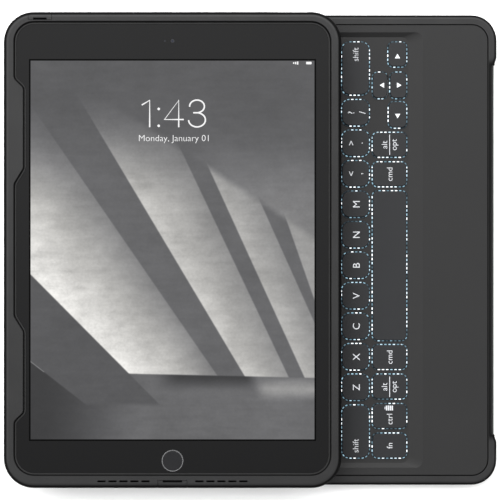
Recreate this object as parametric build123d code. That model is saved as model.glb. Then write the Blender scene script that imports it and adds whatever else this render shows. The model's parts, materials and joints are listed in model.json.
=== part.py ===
from build123d import *
import os

# Tablet keyboard case, lying flat: a keyboard base, a two-panel folding cover on top of it, and a
# rugged tablet case held by magnets on the cover.  Millimetres.  +Z is up, +X points to the person
# who types, and the origin is on the ground under the middle of the whole object.

os.makedirs("parts", exist_ok=True)

# ---- driving dimensions ------------------------------------------------------------------------
CASE_WIDTH = 185.0            # base and tablet case, across the palm rest (X)
CASE_LENGTH = 260.8           # tablet case, along the rows of keys (Y)
BASE_LENGTH = 261.8           # base, the same way
TABLET_SHIFT = 87.3           # how far the tablet case lies behind the base
BASE_X = TABLET_SHIFT / 2     # middle of the base
CASE_X = -TABLET_SHIFT / 2    # middle of the tablet case

TABLET_WIDTH = 174.1
TABLET_LENGTH = 250.6
TABLET_THICK = 7.5
TABLET_CORNER = 11.5
GLASS_THICK = 0.7
SCREEN_WIDTH = 155.4          # lit area
SCREEN_LENGTH = 207.3
HOME_Y = -115.3               # home button, on the tablet's middle line
FRONT_CAMERA_Y = 114.4

# Heights, from the ground up.
FOOT = 1.0                    # rubber feet
SHELL_FLOOR = 1.6
DECK_BOTTOM_Z = 6.9
WELL_Z = 8.1                  # floor of the key well
DECK_Z = 9.5                  # palm rest, and the tops of the keys
BASE_RIM_Z = 9.9
PANEL_THICK = 2.7
FOLD_GAP = 0.3                # between the folded panels, and under the tablet case
LOWER_Z = DECK_Z + 0.4
UPPER_Z = LOWER_Z + PANEL_THICK + FOLD_GAP
CASE_Z = UPPER_Z + PANEL_THICK + FOLD_GAP
CASE_BACK = 2.4
KEEPER_THICK = 0.7
TABLET_Z = CASE_Z + CASE_BACK + 0.8
GLASS_TOP_Z = TABLET_Z + TABLET_THICK
LIP_THICK = 1.5
CASE_TOP_Z = GLASS_TOP_Z + LIP_THICK

# Keyboard base.
BASE_CORNER = 14.0
BASE_RIM = 4.7                # width of the soft rim in front and behind
BASE_SIDE_RIM = 5.2           # width of the soft rim at the sides
SEAM = 0.35                   # groove between rim and deck plate
FRONT_RECESS = 1.0            # the front rim stands back between the corner bumpers
FRONT_RECESS_HALF = 107.0
FRONT_SLOPE = 2.4             # how far the steep face between those bumpers leans back
FRONT_SLOPE_Z = 3.5           # foot of that face
SIDE_Y = -BASE_LENGTH / 2     # the side with the charge port and the power switch
PORT_X, PORT_Z = -30.0, 5.0
SWITCH_X, SWITCH_Z = (-9.5, -0.5), (3.6, 6.4)
RIB_X = (6.0, 43.0, 80.0)     # stiffening ribs on the tray's floor
RAIL_Z = 4.5                  # underside of the hinge rail and of the light guide
SHELL_WALL = 1.6
WELL_REAR_X = -4.0
WELL_FRONT_X = 95.0           # top of the ramp in front of the keys
WELL_HALF = 121.2
TROUGH_X = (-17.0, -5.2)      # trough that the edge of the standing tablet drops into
TROUGH_Z = 8.5
SCREW_XY = [(-20, -100), (-20, 0), (-20, 100), (112, -108), (112, 0), (112, 108)]
SCREW_R = 1.2
MAGNET_X = (-14.0, -9.0)
MAGNET_Y = (-75.0, -25.0, 25.0, 75.0)
FOOT_XY = [(x, y) for x in (-36, 44, 126) for y in (-112, 112)]

# Hinges.  Both turn about Y.  The crease is half way between the rear hinge and the point of the
# tablet case that slides on the deck, so the crease turns twice as far as the rear hinge.
HINGE_R = 2.4
HINGE_X = BASE_X - CASE_WIDTH / 2 + HINGE_R
HINGE_Z = DECK_Z
HINGE_PIN_R = 0.9
CREASE_X = 0.0
CREASE_R = PANEL_THICK + FOLD_GAP / 2
CREASE_Z = LOWER_Z + CREASE_R
CREASE_PIN_R = 1.0
PIN_PLAY = 0.05
HINGE_HALF = 112.0            # half the length of both hinges and of the panels
KNUCKLES = 11
KNUCKLE_GAP = 0.3
PANEL_REAR_X = -128.0

# Tablet case.
CASE_CORNER = 16.5
RIM_ROUND = 3.0
LIP_BEVEL = 0.9               # inner edge of the lip
LIP_SIDE = 0.9                # how far the lip covers the glass
LIP_END = 2.5                 # the same, at the home button's end
GRIP_SPAN = (36.0, 94.0)      # ends of a thumb grip's slopes at the lip's straight edge
GRIP_FLAT = (44.5, 89.0)      # ends of the same slopes at the grip's own edge
GRIP_DEPTH = 5.2
SHELL_INSET = 2.6
SHELL_WALL_TOP_Z = 22.0
CAMERA_XY = (CASE_X + TABLET_WIDTH / 2 - 12.0, TABLET_LENGTH / 2 - 12.0)
COVER_Z = 18.7                # foot of the port and jack covers
COVER_PIVOT_IN = 1.1          # pivot behind the outer wall, and the radius of the hinge bead
COVER_MIDDLES = {"port_cover": (CASE_X, -1, 15.8), "jack_cover": (-116.05, 1, 12.6)}  # x, side, width
SLOT_PITCH = 6.0
SLOT_OFFSET = 26.75           # middle of each group of sound slots, from the tablet's middle line
POWER_X = 22.0
VOLUME_Y = {"volume_up_cover": 92.0, "volume_down_cover": 78.0}
BUTTON_Z = (22.6, 26.0)
BUTTONS = ["power_cover"] + list(VOLUME_Y)
PANEL_MAGNET_XY = [(x, y) for x in (-108, -66, -24) for y in (-80, 80)]

# Keys.  A box is the outline of the light gap round a key.
KEY_PITCH = 17.0
KEY_WIDE = 14.85
KEY_GAP = 0.3                 # from the outline in to the key, and out to the plate
KEY_THICK = 1.6
KEY_ROUND = 0.45
LETTER_ROW_X = (49.75, 65.35)
BOTTOM_ROW_X = (66.85, 86.15)
ROW_PITCH = 17.0
KEYS_HALF = 116.0             # half the length of every row
SHIFT_WIDE = 29.7
MODIFIER_WIDE = 14.0
SMALL_CORNER = 3.0
LETTER_CORNER = 4.5


# ---- helpers -----------------------------------------------------------------------------------
def slab(x, y, z_low, z_high, width, length, corner):
    """Rounded rectangular block, centred on (x, y)."""
    return Pos(x, y, z_low) * extrude(RectangleRounded(width, length, corner), z_high - z_low)


def block(x, y, z):
    """Plain block from three (low, high) pairs."""
    sizes = [high - low for low, high in (x, y, z)]
    return Pos(x[0], y[0], z[0]) * Box(*sizes, align=(Align.MIN, Align.MIN, Align.MIN))


def disc(x, y, z_low, z_high, radius):
    """Upright cylinder."""
    return Pos(x, y, z_low) * Cylinder(radius, z_high - z_low, align=(Align.CENTER, Align.CENTER, Align.MIN))


def rod(x, z, y, radius):
    """Cylinder along Y, y is its (low, high)."""
    return Pos(x, (y[0] + y[1]) / 2, z) * Rot(90, 0, 0) * Cylinder(radius, y[1] - y[0])


def ends(solid, axis=Axis.Z, top=True):
    """Edges round the highest or lowest face of a solid."""
    return solid.faces().sort_by(axis)[-1 if top else 0].edges()


def group(solids):
    """Several separate solids as one shape."""
    return Compound(children=list(solids))


def save(node, shape):
    export_step(shape, f"parts/{node}.step")


def knuckle_spans(owner):
    """Spans along Y of every second knuckle: owner 0 has the first and the last."""
    pitch = 2 * HINGE_HALF / KNUCKLES
    starts = [-HINGE_HALF + pitch * i for i in range(owner, KNUCKLES, 2)]
    return [(y + KNUCKLE_GAP / 2, y + pitch - KNUCKLE_GAP / 2) for y in starts]


def grown(span):
    return (span[0] - KNUCKLE_GAP, span[1] + KNUCKLE_GAP)


# ---- key layout --------------------------------------------------------------------------------
def row(names, first, pitch, wide, row_x, corner):
    """Key boxes of a row, as name: (x, y, corner)."""
    return {name: (row_x, (first + pitch * i - wide / 2, first + pitch * i + wide / 2), corner)
            for i, name in enumerate(names)}


def visible_keys():
    keys = row("z x c v b n m comma period slash".split(), -4.5 * KEY_PITCH, KEY_PITCH, KEY_WIDE,
               LETTER_ROW_X, LETTER_CORNER)
    keys["shift_left"] = (LETTER_ROW_X, (-KEYS_HALF, SHIFT_WIDE - KEYS_HALF), LETTER_CORNER)
    keys["shift_right"] = (LETTER_ROW_X, (KEYS_HALF - SHIFT_WIDE, KEYS_HALF), LETTER_CORNER)
    keys |= row(["function", "control", "alt_left", "command_left"], -109.0, 16.45, MODIFIER_WIDE,
                BOTTOM_ROW_X, SMALL_CORNER)
    keys["space"] = (BOTTOM_ROW_X, (-50.6, 33.1), SMALL_CORNER)
    keys |= row(["command_right", "alt_right"], 42.2, 16.45, MODIFIER_WIDE, BOTTOM_ROW_X, SMALL_CORNER)
    front = BOTTOM_ROW_X[1]
    keys["arrow_left"] = ((front - 10.4, front), (67.9, 82.8), SMALL_CORNER)
    keys["arrow_up"] = ((BOTTOM_ROW_X[0], 75.5), (84.3, 99.2), SMALL_CORNER)
    keys["arrow_down"] = ((76.6, front), (84.3, 99.2), SMALL_CORNER)
    keys["arrow_right"] = ((front - 10.6, front), (101.9, KEYS_HALF), SMALL_CORNER)
    return keys


def row_between_wide_keys(letters, first_y, row_x):
    """A row of letter keys closed by a wider key at each end."""
    keys = row([f"k{i}" for i in range(letters)], first_y, KEY_PITCH, KEY_WIDE, row_x, LETTER_CORNER)
    clear = KEY_PITCH - KEY_WIDE / 2
    keys["first"] = (row_x, (-KEYS_HALF, first_y - clear), LETTER_CORNER)
    keys["last"] = (row_x, (first_y + KEY_PITCH * (letters - 1) + clear, KEYS_HALF), LETTER_CORNER)
    return keys


def hidden_rows():
    row_x = [tuple(x - ROW_PITCH * i for x in LETTER_ROW_X) for i in (1, 2, 3)]
    number_pitch = (2 * KEYS_HALF + KEY_PITCH - KEY_WIDE) / 13
    number_wide = number_pitch - (KEY_PITCH - KEY_WIDE)
    return {
        "home_row_keys": row_between_wide_keys(11, -5 * KEY_PITCH, row_x[0]),
        "upper_row_keys": row_between_wide_keys(11, -5.25 * KEY_PITCH, row_x[1]),
        "number_row_keys": row([f"k{i}" for i in range(13)], -KEYS_HALF + number_wide / 2, number_pitch,
                               number_wide, row_x[2], LETTER_CORNER),
    }


def key_middle(box):
    return sum(box[0]) / 2, sum(box[1]) / 2


def key_block(box, z_low, z_high, grow):
    """Rounded block on a key's outline, grown or shrunk all round."""
    (x0, x1), (y0, y1), corner = box
    return slab((x0 + x1) / 2, (y0 + y1) / 2, z_low, z_high, x1 - x0 + 2 * grow, y1 - y0 + 2 * grow,
                corner + grow)


def key_cap(box):
    cap = key_block(box, DECK_Z - KEY_THICK, DECK_Z, -KEY_GAP)
    cap = fillet(ends(cap), KEY_ROUND)
    x, y = key_middle(box)
    length = box[1][1] - box[1][0]
    spots = [y - length / 3, y, y + length / 3] if length > 2 * SHIFT_WIDE else [y]
    for spot in spots:
        cap += disc(x, spot, DECK_Z - KEY_THICK - 0.7, DECK_Z - KEY_THICK, 2.0)
    return cap


# ---- keyboard base -----------------------------------------------------------------------------
def inside_rim(clear, z_low, z_high):
    """Block that fits inside the soft rim with this much clearance."""
    width = CASE_WIDTH - 2 * (BASE_RIM + clear)
    length = BASE_LENGTH - 2 * (BASE_SIDE_RIM + clear)
    return slab(BASE_X, 0, z_low, z_high, width, length, BASE_CORNER - BASE_RIM - clear)


def side_openings():
    """Openings for the charge port and the power switch, through the rim and the shell wall."""
    depth = (SIDE_Y - 1, SIDE_Y + 9)
    port = Pos(PORT_X, sum(depth) / 2, PORT_Z) * Rot(90, 0, 0) * extrude(RectangleRounded(10, 4.2, 2), 5, both=True)
    return [port, block(SWITCH_X, depth, SWITCH_Z)]


def front_slope(front):
    """What the steep face of the front rim leaves out, between the corner bumpers."""
    foot, top = front - FRONT_RECESS, BASE_RIM_Z + 1
    lean = FRONT_SLOPE / (BASE_RIM_Z - FRONT_SLOPE_Z)
    profile = Polyline((foot, FRONT_SLOPE_Z), (front + 1, FRONT_SLOPE_Z), (front + 1, top),
                       (foot - lean * (top - FRONT_SLOPE_Z), top), close=True)
    half = FRONT_RECESS_HALF - 4
    return Pos(0, half, 0) * extrude(Plane.XZ * make_face(profile), 2 * half)


def base_bumper():
    rim = slab(BASE_X, 0, FOOT, BASE_RIM_Z, CASE_WIDTH, BASE_LENGTH, BASE_CORNER)
    front = BASE_X + CASE_WIDTH / 2
    slant = 3.0
    recess = Polyline((front - FRONT_RECESS, -FRONT_RECESS_HALF + slant), (front + 1, -FRONT_RECESS_HALF - slant),
                      (front + 1, FRONT_RECESS_HALF + slant), (front - FRONT_RECESS, FRONT_RECESS_HALF - slant),
                      close=True)
    rim -= extrude(make_face(recess), 2 * BASE_RIM_Z)
    rim = fillet(ends(rim), 2.4)
    rim = fillet(ends(rim, top=False), 1.5)
    rim -= front_slope(front)
    rim -= inside_rim(0, 0, 2 * BASE_RIM_Z)
    rear = BASE_X - CASE_WIDTH / 2
    rim -= block((rear - 1, rear + BASE_RIM + 1), (-HINGE_HALF - 1, HINGE_HALF + 1), (RAIL_Z, 2 * BASE_RIM_Z))
    for opening in side_openings():
        rim -= opening
    return rim


def base_shell():
    shell = inside_rim(0.1, FOOT, DECK_BOTTOM_Z)
    shell = fillet(ends(shell, top=False), 0.8)
    shell -= inside_rim(0.1 + SHELL_WALL, FOOT + SHELL_FLOOR, DECK_BOTTOM_Z + 1)
    for x in RIB_X:
        shell += block((x - 0.7, x + 0.7), (-118, 118), (FOOT + SHELL_FLOOR, RAIL_Z))
    for x, y in SCREW_XY:
        shell += disc(x, y, FOOT + SHELL_FLOOR, DECK_BOTTOM_Z, 3.2)
        shell -= disc(x, y, 0, 2 * DECK_Z, SCREW_R + 0.15)
        shell -= disc(x, y, FOOT, FOOT + 1.0, 2.4)
    shell -= block((HINGE_X - 5, HINGE_X + 7), (-HINGE_HALF - 1, HINGE_HALF + 1), (RAIL_Z, 2 * DECK_Z))
    for opening in side_openings():
        shell -= opening
    return shell


def deck_plate(key_boxes):
    plate = inside_rim(SEAM, DECK_BOTTOM_Z, DECK_Z)
    plate = chamfer(ends(plate), 0.25)
    rear_edge = HINGE_X + HINGE_R + SEAM
    plate -= block((rear_edge - 9, rear_edge), (-HINGE_HALF - 1, HINGE_HALF + 1), (0, 2 * DECK_Z))
    floor_x = (WELL_REAR_X + 1.4, BOTTOM_ROW_X[1] + 1.0)
    top_x = (WELL_REAR_X, WELL_FRONT_X)
    sketches = []
    for span_x, half, z in ((floor_x, WELL_HALF - 2.6, WELL_Z), (top_x, WELL_HALF, DECK_Z + 0.01)):
        outline = RectangleRounded(span_x[1] - span_x[0], 2 * half, 4.0)
        sketches.append(Pos(sum(span_x) / 2, 0, z) * outline)
    plate -= loft(sketches, ruled=True)
    plate -= block(TROUGH_X, (-WELL_HALF, WELL_HALF), (TROUGH_Z, 2 * DECK_Z))
    for box in key_boxes:
        plate -= key_block(box, 0, 2 * DECK_Z, KEY_GAP)
    for x, y in SCREW_XY:
        plate -= disc(x, y, 0, 8.2, SCREW_R + 0.05)
    for y in MAGNET_Y:
        plate -= block(MAGNET_X, (y - 10.1, y + 10.1), (0, DECK_BOTTOM_Z + 0.9))
    return plate


def base_magnets():
    return group(block((MAGNET_X[0] + 0.1, MAGNET_X[1] - 0.1), (y - 10, y + 10),
                       (DECK_BOTTOM_Z, DECK_BOTTOM_Z + 0.8)) for y in MAGNET_Y)


def hinge_rail():
    rear = BASE_X - CASE_WIDTH / 2
    rail = block((rear, rear + 8.8), (-HINGE_HALF, HINGE_HALF), (RAIL_Z, 6.8))
    for span in knuckle_spans(0):
        rail += block((rear, rear + 2 * HINGE_R), span, (6.0, HINGE_Z))
        rail += rod(HINGE_X, HINGE_Z, span, HINGE_R)
    return rail - rod(HINGE_X, HINGE_Z, (-HINGE_HALF - 1, HINGE_HALF + 1), HINGE_PIN_R + PIN_PLAY)


def key_sheet(z_low, z_high, edge=0.0):
    return block((-1.6 - edge, 89.0 + edge), (-118.5 - edge, 118.5 + edge), (z_low, z_high))


def dome_sheet(key_boxes):
    sheet = key_sheet(5.3, 5.6)
    for box in key_boxes:
        x, y = key_middle(box)
        sheet += disc(x, y, 5.6, 5.9, 2.6)
    return sheet


def controller_board():
    board = block((-40.0, -26.0), (-118.0, -58.0), (3.0, 4.0))
    board += block((-38.0, -31.0), (-92.0, -85.0), (4.0, 4.4))
    board += block((-37.0, -33.0), (-78.0, -72.0), (4.0, 4.4))
    return board


def battery_cells():
    return group(slab(112, side * 53, 2.8, 6.5, 27, 90, 2) for side in (-1, 1))


def charge_port():
    def tube(width, height, corner, y_low, y_high):
        sketch = Plane.XZ.offset(-y_high) * RectangleRounded(width, height, corner)
        return Pos(PORT_X, 0, PORT_Z) * extrude(sketch, y_high - y_low)
    shell = tube(9.0, 3.2, 1.5, SIDE_Y + 0.8, SIDE_Y + 8.2)
    shell -= tube(8.4, 2.6, 1.25, SIDE_Y, SIDE_Y + 7.2)
    return shell + block((PORT_X - 3.3, PORT_X + 3.3), (SIDE_Y + 2.5, SIDE_Y + 7.5), (PORT_Z - 0.35, PORT_Z + 0.35))


def power_switch():
    knob = block((SWITCH_X[0] + 0.5, SWITCH_X[0] + 5.2), (SIDE_Y + 0.3, SIDE_Y + 7.4),
                 (SWITCH_Z[0] + 0.3, SWITCH_Z[1] - 0.3))
    return chamfer(ends(knob, Axis.Y, top=False), 0.3)


def base_screws():
    def screw(x, y):
        shape = disc(x, y, FOOT + 0.1, FOOT + 1.0, 2.2) + disc(x, y, FOOT + 1.0, 8.0, SCREW_R)
        return shape - Pos(x, y, 0) * extrude(RegularPolygon(1.15, 6), FOOT + 0.7)
    return group(screw(x, y) for x, y in SCREW_XY)


def rubber_feet():
    feet = []
    for x, y in FOOT_XY:
        foot = slab(x, y, 0, FOOT, 9, 26, 4.2)
        feet.append(fillet(ends(foot, top=False), 0.4))
    return group(feet)


# ---- folding cover -----------------------------------------------------------------------------
def lower_panel():
    panel = block((HINGE_X, CREASE_X), (-HINGE_HALF, HINGE_HALF), (LOWER_Z, LOWER_Z + PANEL_THICK))
    for span in knuckle_spans(0):
        panel -= block((HINGE_X - 5, HINGE_X + HINGE_R + 0.35), grown(span), (0, CASE_Z))
        panel += rod(CREASE_X, CREASE_Z, span, CREASE_R)
    for span in knuckle_spans(1):
        panel -= block((CREASE_X - CREASE_R - 0.35, CREASE_X + 5), grown(span), (0, CASE_Z))
        panel += rod(HINGE_X, HINGE_Z, span, HINGE_R)
    whole = (-HINGE_HALF - 1, HINGE_HALF + 1)
    panel -= rod(HINGE_X, HINGE_Z, whole, HINGE_PIN_R + PIN_PLAY)
    return panel - rod(CREASE_X, CREASE_Z, whole, CREASE_PIN_R + PIN_PLAY)


def upper_panel():
    panel = block((PANEL_REAR_X, CREASE_X), (-HINGE_HALF, HINGE_HALF), (UPPER_Z, UPPER_Z + PANEL_THICK))
    corners = panel.edges().filter_by(Axis.Z).group_by(Axis.X)[0]
    panel = fillet(corners, 10)
    for span in knuckle_spans(0):
        panel -= block((CREASE_X - CREASE_R - 0.35, CREASE_X + 5), grown(span), (0, CASE_Z))
    for span in knuckle_spans(1):
        panel += rod(CREASE_X, CREASE_Z, span, CREASE_R)
    for x, y in PANEL_MAGNET_XY:
        panel -= disc(x, y, UPPER_Z + 1.2, CASE_Z, 6.1)
    return panel - rod(CREASE_X, CREASE_Z, (-HINGE_HALF - 1, HINGE_HALF + 1), CREASE_PIN_R + PIN_PLAY)


def panel_magnets():
    return group(disc(x, y, UPPER_Z + 1.2, UPPER_Z + PANEL_THICK, 6.0) for x, y in PANEL_MAGNET_XY)


# ---- rugged tablet case ------------------------------------------------------------------------
def round_tablet(grow, z_low, z_high):
    """Block on the tablet's outline, grown or shrunk all round."""
    return slab(CASE_X, 0, z_low, z_high, TABLET_WIDTH + 2 * grow, TABLET_LENGTH + 2 * grow, TABLET_CORNER + grow)


def lip_opening():
    """What the lip leaves free of the glass: straight sides, with two thumb grips on the left."""
    left, right = CASE_X - TABLET_WIDTH / 2 + LIP_SIDE, CASE_X + TABLET_WIDTH / 2 - LIP_SIDE
    low, high = -TABLET_LENGTH / 2 + LIP_END, TABLET_LENGTH / 2 - LIP_SIDE
    outline = Pos((left + right) / 2, (low + high) / 2) * RectangleRounded(right - left, high - low, TABLET_CORNER - 1)
    for side in (-1, 1):
        near, far = [side * y for y in GRIP_SPAN]
        flat_near, flat_far = [side * y for y in GRIP_FLAT]
        outline -= make_face(Polyline(
            (left - 2, near), (left, near), (left + GRIP_DEPTH, flat_near), (left + GRIP_DEPTH, flat_far),
            (left, far), (left - 2, far), close=True))
    slopes = [v for v in outline.vertices() if abs(v.Y) < GRIP_SPAN[1] + 1]
    return fillet(slopes, 3.5)


def plain_rim():
    """The soft rim before anything is cut out of it."""
    rim = slab(CASE_X, 0, CASE_Z + 0.4, CASE_TOP_Z, CASE_WIDTH, CASE_LENGTH, CASE_CORNER)
    rim = fillet(ends(rim), RIM_ROUND)
    rim = fillet(ends(rim, top=False), 2.2)
    return rim


def cover_space(name, gap):
    """The notch in the rim for a hinged cover: deep at the top, shallow below the shell's wall."""
    x, side, width = COVER_MIDDLES[name]
    across = (x - width / 2 - gap, x + width / 2 + gap)
    outer = CASE_LENGTH / 2

    def part(depth, z):
        span = (outer - depth - gap, outer + 1)
        return block(across, span if side > 0 else (-span[1], -span[0]), z)
    shape = part(4.4, (SHELL_WALL_TOP_Z + 0.3 - gap, CASE_TOP_Z + 1))
    bead_z = COVER_Z + COVER_PIVOT_IN
    shape += part(2 * COVER_PIVOT_IN, (bead_z, SHELL_WALL_TOP_Z + 1))
    bead = Rot(0, 90, 0) * Cylinder(COVER_PIVOT_IN + gap, width + 2 * gap)
    return shape + Pos(x, side * (outer - COVER_PIVOT_IN), bead_z) * bead


def cover_relief(name):
    """Room below the hinge bead, outside its axis, for the cover's face to swing down into."""
    x, side, width = COVER_MIDDLES[name]
    outer, bead_z = CASE_LENGTH / 2, COVER_Z + COVER_PIVOT_IN
    span = sorted((side * (outer - COVER_PIVOT_IN), side * (outer + 1)))
    return block((x - width / 2 - 0.2, x + width / 2 + 0.2), span, (bead_z - COVER_PIVOT_IN - 0.3, bead_z))


def hinged_cover(name):
    x, side, width = COVER_MIDDLES[name]
    cover = plain_rim() & cover_space(name, 0)
    nail_y = side * (CASE_LENGTH / 2 - 4.0)
    nail = block((x - width / 2 + 2.6, x + width / 2 - 2.6), sorted((nail_y - 0.6, nail_y + 0.6)),
                 (CASE_TOP_Z - 1.4, CASE_TOP_Z + 1))
    return cover - nail


def sound_slots():
    y = -CASE_LENGTH / 2 + 4.0
    slots = []
    for side in (-1, 1):
        for i in range(5):
            x = CASE_X + side * SLOT_OFFSET + SLOT_PITCH * (i - 2)
            slots.append(slab(x, y, CASE_TOP_Z - 3, CASE_TOP_Z + 1, 4.65, 1.0, 0.49))
    return slots


def button_block(name, gap):
    """The space of a side button in the rim, with this clearance round it."""
    z = (BUTTON_Z[0] - gap, BUTTON_Z[1] + gap)
    outer_x, outer_y = CASE_X + CASE_WIDTH / 2, CASE_LENGTH / 2
    reach = (0.2 - 2 * gap, 4.6 + gap)
    if name == "power_cover":
        return block((POWER_X - 8 - gap, POWER_X + 8 + gap), (outer_y - reach[1], outer_y - reach[0]), z)
    y = VOLUME_Y[name]
    return block((outer_x - reach[1] - 0.3, outer_x - reach[0]), (y - 5.4 - gap, y + 5.4 + gap), z)


def side_button(name):
    button = button_block(name, 0)
    axis = Axis.Y if name == "power_cover" else Axis.X
    return fillet(ends(button, axis), 0.5)


def case_bumper():
    rim = plain_rim()
    rim -= slab(CASE_X, 0, 0, SHELL_WALL_TOP_Z + 0.1, CASE_WIDTH - 2 * SHELL_INSET + 0.2,
                CASE_LENGTH - 2 * SHELL_INSET + 0.2, CASE_CORNER - SHELL_INSET + 0.1)
    rim -= round_tablet(0.4, 0, GLASS_TOP_Z + 0.05)
    rim -= Pos(0, 0, CASE_Z) * extrude(lip_opening(), 20)
    top_face = rim.faces().sort_by(Axis.Z)[-1]
    rim = chamfer(top_face.inner_wires()[0].edges(), LIP_BEVEL)
    for name in COVER_MIDDLES:
        rim -= cover_space(name, 0.2) + cover_relief(name)
    for name in BUTTONS:
        rim -= button_block(name, 0.25)
    for slot in sound_slots():
        rim -= slot
    return rim


def case_shell():
    def inside(inset, z_low, z_high):
        return slab(CASE_X, 0, z_low, z_high, CASE_WIDTH - 2 * inset, CASE_LENGTH - 2 * inset, CASE_CORNER - inset)
    shell = inside(SHELL_INSET, CASE_Z, SHELL_WALL_TOP_Z)
    shell = chamfer(ends(shell, top=False), 0.8)
    shell -= round_tablet(0.4, CASE_Z + CASE_BACK, 2 * CASE_TOP_Z)
    window = disc(*CAMERA_XY, 0, 2 * CASE_Z, 7.0)
    shell -= window
    return shell


def case_keeper_plate():
    z = CASE_Z + CASE_BACK
    return slab(-66, 0, z, z + KEEPER_THICK, 110, 190, 6)


# ---- tablet ------------------------------------------------------------------------------------
def tablet_housing():
    housing = round_tablet(0, TABLET_Z, GLASS_TOP_Z - GLASS_THICK)
    housing = fillet(ends(housing, top=False), 2.5)
    housing -= round_tablet(-1.6, TABLET_Z + 2.6, GLASS_TOP_Z)
    return housing - disc(*CAMERA_XY, 0, TABLET_Z + 1.1, 4.7)


def tablet_glass():
    glass = round_tablet(-0.25, GLASS_TOP_Z - GLASS_THICK, GLASS_TOP_Z)
    glass = fillet(ends(glass), 0.25)
    glass -= disc(CASE_X, HOME_Y, 0, 2 * GLASS_TOP_Z, 5.95)
    return glass - disc(CASE_X, FRONT_CAMERA_Y, 0, 2 * GLASS_TOP_Z, 1.05)


def tablet_display():
    top = GLASS_TOP_Z - GLASS_THICK
    return slab(CASE_X, 0, top - 1.5, top, SCREEN_WIDTH + 4, SCREEN_LENGTH + 4, 1.5)


def home_ring():
    top = GLASS_TOP_Z + 0.03
    return disc(CASE_X, HOME_Y, GLASS_TOP_Z - GLASS_THICK, top, 5.9) - disc(CASE_X, HOME_Y, 0, 2 * top, 5.45)


def home_button():
    button = disc(CASE_X, HOME_Y, GLASS_TOP_Z - 1.3, GLASS_TOP_Z - 0.1, 5.35)
    return fillet(ends(button), 0.2)


def front_camera():
    return disc(CASE_X, FRONT_CAMERA_Y, GLASS_TOP_Z - GLASS_THICK, GLASS_TOP_Z - 0.04, 1.0)


def rear_camera():
    lens = disc(*CAMERA_XY, TABLET_Z - 0.6, TABLET_Z + 1.1, 4.6)
    lens = fillet(ends(lens, top=False), 0.5)
    return lens - disc(*CAMERA_XY, 0, TABLET_Z - 0.3, 3.2)


# ---- write every piece -------------------------------------------------------------------------
def main():
    shown = visible_keys()
    hidden = hidden_rows()
    boxes = list(shown.values()) + [box for keys in hidden.values() for box in keys.values()]

    for name, box in shown.items():
        save(f"key_{name}", key_cap(box))
    for name, keys in hidden.items():
        save(name, group(key_cap(box) for box in keys.values()))

    save("base_shell", base_shell())
    save("base_bumper", base_bumper())
    save("deck_plate", deck_plate(boxes))
    save("hinge_rail", hinge_rail())
    save("rear_hinge_pin", rod(HINGE_X, HINGE_Z, (-HINGE_HALF, HINGE_HALF), HINGE_PIN_R))
    save("key_light_guide", key_sheet(RAIL_Z, 4.9))
    save("key_support_plate", key_sheet(4.9, 5.3))
    save("dome_sheet", dome_sheet(boxes))
    save("controller_board", controller_board())
    save("battery_cells", battery_cells())
    save("charge_port", charge_port())
    save("power_switch", power_switch())
    save("base_magnets", base_magnets())
    save("base_screws", base_screws())
    save("rubber_feet", rubber_feet())

    save("lower_panel", lower_panel())
    save("crease_hinge_pin", rod(CREASE_X, CREASE_Z, (-HINGE_HALF, HINGE_HALF), CREASE_PIN_R))
    save("upper_panel", upper_panel())
    save("panel_magnets", panel_magnets())

    save("case_shell", case_shell())
    save("case_bumper", case_bumper())
    save("case_keeper_plate", case_keeper_plate())
    for name in COVER_MIDDLES:
        save(name, hinged_cover(name))
    for name in BUTTONS:
        save(name, side_button(name))

    save("tablet_housing", tablet_housing())
    save("tablet_glass", tablet_glass())
    save("tablet_display", tablet_display())
    save("home_ring", home_ring())
    save("home_button", home_button())
    save("front_camera", front_camera())
    save("rear_camera", rear_camera())


main()
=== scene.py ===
"""Looks of a tablet keyboard case: a backlit keyboard base, a folding cover and a rugged tablet case."""

import json
import logging
import math
from dataclasses import dataclass, field
from enum import Enum
from typing import Any, Callable, Sequence, Union

import bpy
from mathutils import Matrix, Vector


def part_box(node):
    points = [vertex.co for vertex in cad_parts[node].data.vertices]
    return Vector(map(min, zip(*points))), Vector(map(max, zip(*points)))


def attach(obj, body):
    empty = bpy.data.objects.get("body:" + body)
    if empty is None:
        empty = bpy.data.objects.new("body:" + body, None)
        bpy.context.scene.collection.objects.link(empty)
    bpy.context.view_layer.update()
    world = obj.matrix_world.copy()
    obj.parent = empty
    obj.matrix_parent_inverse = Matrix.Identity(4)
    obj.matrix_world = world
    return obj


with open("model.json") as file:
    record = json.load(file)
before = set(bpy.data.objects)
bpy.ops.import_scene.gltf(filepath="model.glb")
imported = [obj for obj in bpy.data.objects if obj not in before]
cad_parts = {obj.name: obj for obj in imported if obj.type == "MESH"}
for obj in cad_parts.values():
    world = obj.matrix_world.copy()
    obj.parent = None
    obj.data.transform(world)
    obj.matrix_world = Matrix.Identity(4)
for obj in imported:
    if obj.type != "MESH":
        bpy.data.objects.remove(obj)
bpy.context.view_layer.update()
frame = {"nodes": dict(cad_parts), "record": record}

logging.basicConfig(level=logging.INFO, format="%(message)s")
log = logging.getLogger("tablet_keyboard_case")

MM = 0.001
DISPLAY_GAMMA = 2.2
INK_THICK = 0.02 * MM
SKIN = 0.01 * MM
TYPE_TURN = math.pi / 2
BLACK = (0.0, 0.0, 0.0)
Colour = tuple[float, float, float]
Number = Union["Value", float]


def shade(colour: Colour, factor: float, more: float = 0.0) -> Colour:
    """A colour times a factor, with a little more of everything."""
    return tuple(c * factor + more for c in colour)


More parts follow.
